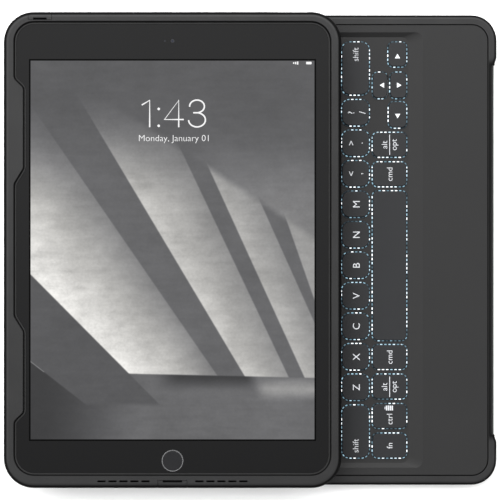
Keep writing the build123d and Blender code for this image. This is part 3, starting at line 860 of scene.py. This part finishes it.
@dataclass
class KeySet:
    """Legends on the keys and the dashed light round them."""

    gap: float = 0.3 * MM
    strip: float = 0.5 * MM
    strip_top: float = 8.15 * MM
    strip_deep: float = 0.9 * MM
    pitch: float = 17.0 * MM
    wide: float = 14.85 * MM
    half_row: float = 116.0 * MM
    dash: float = 2.3 * MM
    small_type: float = 4.6
    row_type: float = 6.0
    row_end: float = 10 * MM
    numbered: int = 0
    ring_numbers: int = 100
    thin: float = 0.035 * MM
    arrow_shift: dict[str, tuple[float, float]] = field(
        default_factory=lambda: {"RIGHT": (-1.4, 0.0), "UP": (0.0, -1.4), "LEFT": (-0.4, 0.0)})
    ink: bpy.types.Material = field(init=False)
    bright_ink: bpy.types.Material = field(init=False)
    light: bpy.types.Material = field(init=False)

    def __post_init__(self) -> None:
        """Mixes the finishes of print and light."""
        self.ink = PlainGlow("legend_ink", (0.46, 0.47, 0.49), 0.2).material()
        self.bright_ink = PlainGlow("arrow_ink", (0.62, 0.64, 0.66), 0.4).material()
        self.light = DashedGlow("gap_light").material()

    def prints(self) -> dict[str, list[Print]]:
        """The print on each visible key."""
        small = self.small_type
        keys = {f"key_{letter}": [Print(letter.upper(), above=-0.4, size=5.6)] for letter in "zxcvbnm"}
        pairs = {"comma": "<,", "period": ">.", "slash": "?/"}
        for name, (shifted, plain) in pairs.items():
            keys[f"key_{name}"] = [Print(shifted, above=2.5, size=5.2), Print(plain, above=-3.7, size=5.2)]
        keys["key_shift_left"] = [Print("shift", right=-7.8, size=small)]
        keys["key_shift_right"] = [Print("shift", right=7.8, size=small)]
        for side in ("left", "right"):
            keys[f"key_command_{side}"] = [Print("cmd", size=small)]
            keys[f"key_alt_{side}"] = [Print(text, above=above, size=small)
                                       for text, above in (("alt", 2.9), ("opt", -3.2))]
        keys["key_control"] = [Print("ctrl", right=-1.6, size=small)]
        keys["key_function"] = [Print("fn", size=small)]
        return keys

    def pointers(self) -> dict[str, Pointer]:
        """The arrow keys."""
        return {f"key_arrow_{way.name.lower()}": way for way in Pointer}

    def place(self, node: str, right: float, above: float) -> Vector:
        """A point on a key's top, from its middle, in millimetres as the typist sees it."""
        low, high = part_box(node)
        middle = (low + high) / 2
        return Vector((middle.x - above * MM, middle.y + right * MM, high.z))

    def arrow(self, name: str, middle: Vector, way: Pointer) -> bpy.types.Object:
        """A filled triangle on an arrow key."""
        Bench.calm()
        bpy.ops.mesh.primitive_cylinder_add(vertices=3, radius=1.65 * MM, depth=INK_THICK,
                                            location=middle + Vector((0, 0, INK_THICK / 2)),
                                            rotation=(0, 0, way.value))
        piece = Bench.settle(bpy.context.object, name)
        Bench.edit(piece, lambda: bpy.ops.mesh.bevel(offset=0.15 * MM, segments=2, affect="VERTICES"))
        return piece

    def legends(self) -> None:
        """Makes the print on every visible key."""
        for node, prints in self.prints().items():
            parts = []
            for number, mark in enumerate(prints):
                spot = self.place(node, mark.right, mark.above)
                thin = self.thin if len(mark.text) > 1 else 0.0
                name = f"{node}_{number}"
                parts.append(Bench.lettering(name, mark.text, spot, mark.size * MM, TYPE_TURN, thin))
            if "alt" in node:
                spot = self.place(node, 0, 0)
                parts.append(Bench.tile("rule", spot, (0.35 * MM, 11.3 * MM), 0.1 * MM, INK_THICK))
            if node == "key_control":
                parts += self.battery_mark(self.place(node, 4.6, 0))
            Bench.dress(Bench.join(parts, f"{node}_legend"), self.ink, body_of(node))
        for node, way in self.pointers().items():
            right, above = self.arrow_shift.get(way.name, (0, 0))
            piece = self.arrow(f"{node}_legend", self.place(node, right, above), way)
            Bench.dress(piece, self.bright_ink, body_of(node))

    def battery_mark(self, spot: Vector) -> list[bpy.types.Object]:
        """A charge level sign: a cap and four bars."""
        marks = [("pole", -2.6, 0.4, 1.3)] + [(f"bar_{i}", 1.05 * i - 1.7, 0.75, 2.7) for i in range(4)]
        return [Bench.tile(name, spot + Vector((x * MM, 0, 0)), (width * MM, length * MM), 0.1 * MM,
                           INK_THICK) for name, x, width, length in marks]

    def row_legends(self) -> None:
        """Makes the print on the three rows that group their keys."""
        rows = {"home_row_keys": ("ASDFGHJKL;'", "caps", "return"),
                "upper_row_keys": ("QWERTYUIOP[", "tab", "]"),
                "number_row_keys": ("`1234567890-=", "", "")}
        for node, (letters, left, right) in rows.items():
            first, pitch, _ = self.row(node)
            low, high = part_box(node)
            x = (low.x + high.x) / 2
            parts = []
            for i, letter in enumerate(letters):
                spot = (x, first + pitch * i, high.z)
                parts.append(Bench.lettering(f"{node}_{i}", letter, spot, self.row_type * MM, TYPE_TURN))
            for text, y in ((left, -self.half_row + self.row_end), (right, self.half_row - self.row_end)):
                if text:
                    spot, size = (x, y, high.z), self.small_type * MM
                    parts.append(Bench.lettering(f"{node}_{text}", text, spot, size, TYPE_TURN))
            Bench.dress(Bench.join(parts, f"{node}_legend"), self.ink, body_of(node))

    def row(self, node: str) -> tuple[float, float, float]:
        """Middle of a hidden row's first equal key, and the pitch and the outline's length of them all."""
        if node == "number_row_keys":
            pitch = (2 * self.half_row + self.pitch - self.wide) / 13
            wide = pitch - (self.pitch - self.wide)
            return -self.half_row + wide / 2, pitch, wide
        return -(5.0 if node == "home_row_keys" else 5.25) * self.pitch, self.pitch, self.wide

    def outlines(self, node: str) -> list[tuple[float, float, float, float, float]]:
        """Outlines of a node's keys as x, y, width, length and corner radius."""
        low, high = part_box(node)
        x, width = (low.x + high.x) / 2, high.x - low.x + 2 * self.gap
        if not node.endswith("row_keys"):
            corner = 4.5 * MM if width < 16 * MM and "arrow" not in node else 3.0 * MM
            return [(x, (low.y + high.y) / 2, width, high.y - low.y + 2 * self.gap, corner)]
        corner = 4.5 * MM
        first, pitch, wide = self.row(node)
        if node == "number_row_keys":
            return [(x, first + pitch * i, width, wide, corner) for i in range(13)]
        clear = self.pitch - self.wide / 2
        ends = [(-self.half_row, first - clear), (first + 10 * self.pitch + clear, self.half_row)]
        made = [(x, first + pitch * i, width, wide, corner) for i in range(11)]
        return made + [(x, (a + b) / 2, width, b - a, corner) for a, b in ends]

    def rings(self) -> None:
        """Makes the dashed light in the gap round every key, one piece for each row."""
        rows: dict[str, list[str]] = {"letter_row": [], "bottom_row": [], "arrow_block": []}
        for node in frame["nodes"]:
            if node.startswith("key_") and body_of(node) != "base":
                if "arrow" in node:
                    rows["arrow_block"].append(node)
                else:
                    low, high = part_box(node)
                    rows["letter_row" if high.x - low.x < 16 * MM else "bottom_row"].append(node)
            elif node.endswith("row_keys"):
                rows[node.replace("_keys", "")] = [node]
        for row, nodes in rows.items():
            parts = []
            for node in sorted(nodes):
                for x, y, width, length, corner in self.outlines(node):
                    size = (width + self.strip, length + self.strip)
                    parts.append(Bench.ring(f"{row}_{len(parts)}", (x, y, self.strip_top), size,
                                            corner + self.strip / 2, self.strip, self.strip_deep, self.dash,
                                            self.numbered, node == "key_arrow_up"))
                    self.numbered += self.ring_numbers
            Bench.dress(Bench.join(parts, f"{row}_light"), self.light, "base", "light_guide")

    def dress_caps(self) -> None:
        """Gives the key caps their finish."""
        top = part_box("key_b")[1].z
        # the caps' sides below their tops get painted shade
        repaint(Moulded("key_cap", (0.0095, 0.0100, 0.0112), 0.5, 0.3 * MM, 0.015 * MM, top_z=top),
                *(node for node in frame["nodes"] if node.endswith("row_keys")
                  or (node.startswith("key_") and body_of(node) != "base")))


# ---- the other sub-assemblies ------------------------------------------------------------------
@dataclass
class KeyboardBase:
    """The tray, the soft rim, the deck plate and what is inside."""

    rim_colour: Colour = (0.0095, 0.0095, 0.0098)
    front_face: float = 4.2 * MM
    corner_pad: float = 103 * MM
    deck_colour: Colour = (0.0095, 0.0095, 0.0097)

    def build(self) -> None:
        """Dresses the base's nodes."""
        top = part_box("base_bumper")[1]
        # face: the front strip of the rim between the corner pads, which gets painted shade
        face = (top.x - self.front_face, self.corner_pad)
        repaint(Moulded("deck_plate", self.deck_colour, 0.56), "deck_plate")
        repaint(Moulded("tray", (0.014, 0.014, 0.0145), 0.6, 0.6 * MM), "base_shell", "hinge_rail")
        # the rim's slopes below its top get painted shade from this finish
        repaint(Elastomer("base_rim", self.rim_colour, 0.5, top.z, face=face), "base_bumper")
        repaint(Elastomer("foot_rubber", (0.016, 0.016, 0.016), 0.7), "rubber_feet")
        repaint(Moulded("switch_knob", (0.10, 0.10, 0.102), 0.45), "power_switch")
        repaint(PlainGlow("light_sheet", (0.55, 0.72, 0.9), 0.2), "key_light_guide")
        repaint(Elastomer("dome_rubber", (0.32, 0.33, 0.35), 0.45), "dome_sheet")
        repaint(Metal("sheet_steel", (0.4, 0.4, 0.41), 0.35, Lay.ALONG), "key_support_plate")
        repaint(Metal("pin_steel", (0.5, 0.5, 0.51), 0.3, Lay.ALONG), "rear_hinge_pin")
        repaint(Metal("port_shell", (0.36, 0.36, 0.37), 0.3), "charge_port")
        repaint(Metal("black_screws", (0.1, 0.1, 0.105), 0.4), "base_screws")
        repaint(Metal("nickel", (0.6, 0.59, 0.57), 0.2), "base_magnets", "panel_magnets")
        repaint(Moulded("solder_mask", (0.012, 0.075, 0.035), 0.35), "controller_board")
        repaint(Moulded("cell_wrap", (0.3, 0.31, 0.32), 0.4), "battery_cells")


@dataclass
class FoldingCover:
    """The two panels that carry the tablet case."""

    def build(self) -> None:
        """Dresses the cover's nodes."""
        repaint(Woven("cover_cloth", (0.024, 0.024, 0.025)), "lower_panel", "upper_panel")
        repaint(Metal("crease_pin", (0.5, 0.5, 0.51), 0.3, Lay.ALONG), "crease_hinge_pin")


@dataclass
class RuggedCase:
    """The hard back and the soft rim round the tablet."""

    rim_colour: Colour = (0.0095, 0.0095, 0.0098)
    # sizes of the near-black strip of painted shade at the foot of the lip, on the glass
    groove_shade_side: float = 0.65 * MM
    groove_shade_end: float = 2.25 * MM
    groove_shade_corner: float = 10.5 * MM
    groove_shade_wide: float = 0.7 * MM
    groove_shade_thick: float = 0.45 * MM
    grip_span: tuple[float, float] = (36 * MM, 94 * MM)
    grip_flat: tuple[float, float] = (44.5 * MM, 89 * MM)
    grip_depth: float = 5.2 * MM
    grip_blend: float = 1.5 * MM

    def build(self) -> None:
        """Dresses the case's nodes."""
        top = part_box("case_bumper")[1].z
        # the rim's slopes below its top get painted shade from this finish
        repaint(Elastomer("case_rim", self.rim_colour, 0.46, top), "case_bumper", "port_cover", "jack_cover",
                "power_cover", "volume_up_cover", "volume_down_cover")
        repaint(Moulded("case_back", (0.014, 0.014, 0.0145), 0.58, 0.5 * MM), "case_shell")
        repaint(Metal("keeper_steel", (0.4, 0.4, 0.41), 0.35, Lay.ACROSS), "case_keeper_plate")
        self.seal()

    def seal(self) -> None:
        """Adds a near-black strip along the foot of the lip, on the glass: painted shade in the groove
        between lip and glass.
        """
        low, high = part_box("tablet_glass")
        left, right = low.x + self.groove_shade_side, high.x - self.groove_shade_side
        near, far = low.y + self.groove_shade_end, high.y - self.groove_shade_side
        middle = ((left + right) / 2, (near + far) / 2, high.z)
        piece = Bench.sheet("lip_seal", middle, (right - left, far - near))
        close = 0.1 * MM

        def notch() -> None:
            """Marks the ends of the grips along the edges."""
            for y in [side * y for side in (-1, 1) for y in (*self.grip_span, *self.grip_flat)]:
                bpy.ops.mesh.select_all(action="SELECT")
                bpy.ops.mesh.bisect(plane_co=(0, y, high.z), plane_no=(0, 1, 0))

        def on_grip(place: Vector) -> bool:
            """Whether a place is on the flat part of a grip."""
            flat = self.grip_flat[0] - close < abs(place.y) < self.grip_flat[1] + close
            return place.x < left + close and flat

        def merge() -> None:
            """Makes one face of all."""
            bpy.ops.mesh.dissolve_faces()
            bpy.ops.mesh.select_all(action="SELECT")
            bpy.ops.mesh.dissolve_limited(angle_limit=0.01)

        def near_grip(place: Vector) -> bool:
            """Whether a place is a corner of a grip."""
            return place.x < left + self.grip_depth + close and abs(place.y) < self.grip_span[1] + 1 * MM

        def strip() -> None:
            """Leaves a strip and gives it its height."""
            bpy.ops.mesh.inset(thickness=self.groove_shade_wide, depth=0)
            bpy.ops.mesh.delete(type="FACE")
            Bench.thicken(self.groove_shade_thick)

        Bench.edit(piece, notch)
        Bench.pick(piece, on_grip, lambda: bpy.ops.transform.translate(value=(self.grip_depth, 0, 0)))
        Bench.edit(piece, merge)
        Bench.pick(piece, lambda place: abs(place.y) > self.grip_span[1] + 5 * MM,
                   lambda: bpy.ops.mesh.bevel(offset=self.groove_shade_corner, segments=8, affect="VERTICES"))
        Bench.pick(piece, near_grip,
                   lambda: bpy.ops.mesh.bevel(offset=self.grip_blend, segments=4, affect="VERTICES"))
        Bench.edit(piece, strip)
        # near-black rubber finish for the strip: painted shade in the groove at the foot of the lip
        rubber = Elastomer("seal_rubber", (0.006, 0.006, 0.006), 0.6, high.z).material()
        Bench.dress(piece, rubber, "tablet_case", "soft_rim")


@dataclass
class Tablet:
    """The tablet in the case, with its lit screen."""

    screen: tuple[float, float] = (155.4 * MM, 207.3 * MM)
    pen: float = 0.8 * MM
    date: str = "Monday, January 01"
    date_size: float = 5.0 * MM
    date_thin: float = 0.06 * MM
    sign_row: float = 102.3 * MM
    sensor: float = 0.42 * MM

    def build(self) -> None:
        """Dresses the tablet's nodes and adds what the screen shows."""
        low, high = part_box("tablet_glass")
        x, glass_z = (low.x + high.x) / 2, high.z
        repaint(LitScreen("cover_glass", (x, 0.0), (self.screen[0] / 2, self.screen[1] / 2)), "tablet_glass")
        repaint(Moulded("display_back", (0.05, 0.05, 0.055), 0.3), "tablet_display")
        repaint(Metal("blasted_aluminium", (0.28, 0.28, 0.29), 0.42), "tablet_housing")
        repaint(Metal("ring_metal", (0.42, 0.42, 0.43), 0.25), "home_ring")
        repaint(Moulded("home_cover", (0.012, 0.012, 0.013), 0.2, 0.8 * MM, 0.001 * MM), "home_button")
        for node, radius in (("front_camera", 1.0 * MM), ("rear_camera", 4.6 * MM)):
            low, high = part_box(node)
            spot = ((low.x + high.x) / 2, (low.y + high.y) / 2)
            repaint(Lens(f"{node}_glass", spot, radius), node)
        self.show(x, glass_z + SKIN / 2)

    def strokes(self) -> list[list[tuple[float, float]]]:
        """Pen lines of the clock's 1, 4 and 3, in millimetres from the middle of the row."""
        def arc(middle: tuple, radii: tuple, start: int, stop: int) -> list[tuple[float, float]]:
            """Points along an ellipse from start to stop, in degrees."""
            turns = [math.radians(start + (stop - start) * i / 28) for i in range(29)]
            return [(middle[0] + radii[0] * math.cos(a), middle[1] + radii[1] * math.sin(a)) for a in turns]
        one = [(-17.5, 4.65), (-13.2, 7.2), (-13.2, -7.5)]
        four = [(2.7, -7.5), (2.7, 7.2), (-5.1, -3.3), (5.45, -3.3)]
        upper = arc((12.7, 3.9), (4.05, 3.45), 184, -78)
        lower = arc((12.7, -3.5), (4.6, 3.85), 78, -178)
        return [one, four, upper, lower, [(10.6, 0.4), (13.7, 0.4)]]

    def show(self, x: float, lift: float) -> None:
        """Adds the clock, the date line, the status signs and the light sensor.

        Args:
            x: middle of the screen.
            lift: height at which they lie.
        """
        white = PlainGlow("screen_white", (0.95, 0.95, 0.95), 0.98, 0.01).material()
        middle = (x + 0.7 * MM, 74.7 * MM, lift)
        parts = [Bench.stroke(f"stroke_{i}", line, middle, self.pen, SKIN)
                 for i, line in enumerate(self.strokes())]
        for y in (2.5, -6.75):
            spot = (middle[0] - 8.25 * MM, middle[1] + y * MM, lift)
            parts.append(Bench.tile("dot", spot, (1.45 * MM, 1.45 * MM), 0.7 * MM, SKIN, 4))
        digits = Bench.join(parts, "clock_digits")
        date = Bench.lettering("date_line", self.date, (middle[0], 60.7 * MM, lift), self.date_size, 0.0,
                               self.date_thin, SKIN)
        marks = [(f"bar_{i}", 66.3 + 1.1 * i, 0.7, 0.9 + 0.4 * i, 0.1) for i in range(3)]
        marks.append(("level", 74.6, 3.0, 1.4, 0.3))
        signs = [Bench.tile(name, (x + right * MM, self.sign_row, lift), (width * MM, length * MM),
                            corner * MM, SKIN) for name, right, width, length, corner in marks]
        for piece in (digits, date, Bench.join(signs, "status_signs")):
            Bench.dress(piece, white, "tablet_case", "display")
        Bench.calm()
        spot = (x - 4.2 * MM, 114.4 * MM)
        bpy.ops.mesh.primitive_cylinder_add(vertices=24, radius=self.sensor, depth=SKIN,
                                            location=(*spot, lift))
        sensor = Bench.settle(bpy.context.object, "light_sensor")
        Bench.edit(sensor, lambda: bpy.ops.mesh.bevel(offset=0.003 * MM, segments=1))
        Bench.dress(sensor, Lens("sensor_glass", spot, self.sensor).material(), "tablet_case", "camera_lens")


# ---- studio ------------------------------------------------------------------------------------
@dataclass
class Studio:
    """A pale floor, soft light and a camera that looks straight down."""

    height: float = 0.989
    view_width: float = 0.2736
    sensor: float = 36.0
    aim_x: float = -1.25 * MM
    band: tuple[float, float] = (0.9, 5.0)
    top: tuple[float, float] = (0.16, 0.88)

    def build(self, glass_z: float) -> None:
        """Sets up camera, floor, sky and lamps over an object whose screen is at this height."""
        camera = bpy.data.cameras.new("camera")
        camera.sensor_width = self.sensor
        camera.lens = self.sensor * self.height / self.view_width
        holder = bpy.data.objects.new("camera", camera)
        holder.location = (self.aim_x, 0, glass_z + self.height)
        bpy.context.scene.collection.objects.link(holder)
        bpy.context.scene.camera = holder
        bpy.context.scene.view_settings.view_transform = "Standard"
        self.floor()
        self.sky()
        self.lamp("lamp_far", (0.1, 1.0, 1.25), (1.3, 0.8), 9.0)
        self.lamp("lamp_left", (-1.1, 0.25, 1.2), (0.8, 1.2), 5.0)
        self.lamp("lamp_right", (1.3, 0.3, 1.4), (0.9, 1.2), 2.0)

    def floor(self) -> None:
        """Lays the floor."""
        Bench.calm()
        bpy.ops.mesh.primitive_plane_add(size=8)
        floor = Bench.settle(bpy.context.object, "floor")
        g = Graph("floor_paper")
        tooth = g.noise(1.1 * MM, 2)
        paper = g.close(base_color=g.mix(tooth, (0.93, 0.93, 0.93), (0.96, 0.96, 0.96)), roughness=0.9,
                        specular_ior_level=0.1)
        floor.data.materials.append(paper)

    def sky(self) -> None:
        """Surrounds the object with a dim dome, a bright band high up and a darker top."""
        world = bpy.data.worlds.new("sky")
        world.use_nodes = True
        bpy.context.scene.world = world
        tree = world.node_tree
        tree.nodes.clear()
        background = tree.nodes.new("ShaderNodeBackground")
        out = tree.nodes.new("ShaderNodeOutputWorld")
        tree.links.new(background.outputs[0], out.inputs[0])
        g = Graph("sky", tree)
        x, y, z = g.axes(g.node("ShaderNodeTexCoord", output="Generated"))
        band = z.rise(0.30, 0.75) * (1.0 - z.rise(0.925, 0.975))
        band = band * y.ramp(-0.45, 0.45, *self.band) * x.ramp(-0.6, 0.6, 1.25, 0.75)
        light = band + y.ramp(-0.2, 0.2, *self.top)
        tree.links.new(light.socket, background.inputs["Strength"])

    def lamp(self, name: str, spot: Sequence[float], size: Sequence[float], power: float) -> None:
        """Hangs a soft box that faces the object.

        Args:
            name: the lamp's name.
            spot: where it hangs.
            size: its width and height.
            power: its power in watts.
        """
        light = bpy.data.lights.new(name, "AREA")
        light.shape = "RECTANGLE"
        light.size, light.size_y = size
        light.energy = power
        holder = bpy.data.objects.new(name, light)
        holder.location = spot
        holder.rotation_euler = (-Vector(spot)).to_track_quat("-Z", "Y").to_euler()
        bpy.context.scene.collection.objects.link(holder)


def main() -> None:
    """Builds the studio and every sub-assembly in order."""
    Studio().build(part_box("tablet_glass")[1].z)
    KeyboardBase().build()
    keys = KeySet()
    keys.dress_caps()
    keys.legends()
    keys.row_legends()
    keys.rings()
    FoldingCover().build()
    RuggedCase().build()
    Tablet().build()
    Bench.calm()


if __name__ == "__main__":
    main()
